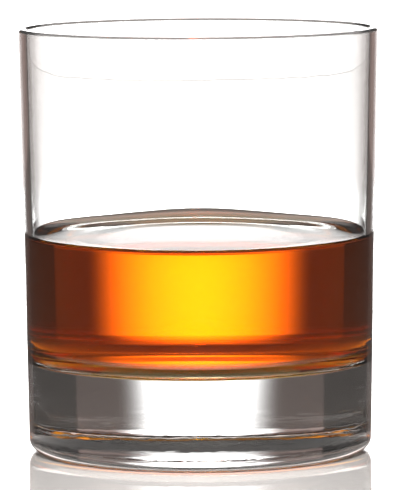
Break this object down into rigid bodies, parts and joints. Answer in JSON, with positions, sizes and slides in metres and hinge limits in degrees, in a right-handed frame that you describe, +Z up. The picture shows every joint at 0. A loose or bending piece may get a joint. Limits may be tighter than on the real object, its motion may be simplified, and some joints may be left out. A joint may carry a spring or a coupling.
{
  "type": "bourbon in a rocks tumbler",
  "caption": "Straight-sided clear rocks tumbler with a heavy solid base, holding bourbon up to just under half its height, with a curved meniscus at the wall.",
  "frame": {"origin": "on the table under the middle of the foot", "axes": "+Z up out of the mouth of the glass; +Y towards the back, where the rocking drink stands a little higher; -Y towards the viewer"},
  "size_m": [0.0806, 0.0806, 0.095],
  "materials": {
    "clear_glass": "clear soda-lime glass, fire-polished, smooth and bright",
    "bourbon": "clear amber spirit, bright yellow-orange where light comes through, near black-brown at the sides"
  },
  "bodies": {
    "root": {"tumbler": "clear_glass", "bourbon": "bourbon"}
  },
  "joints": []
}
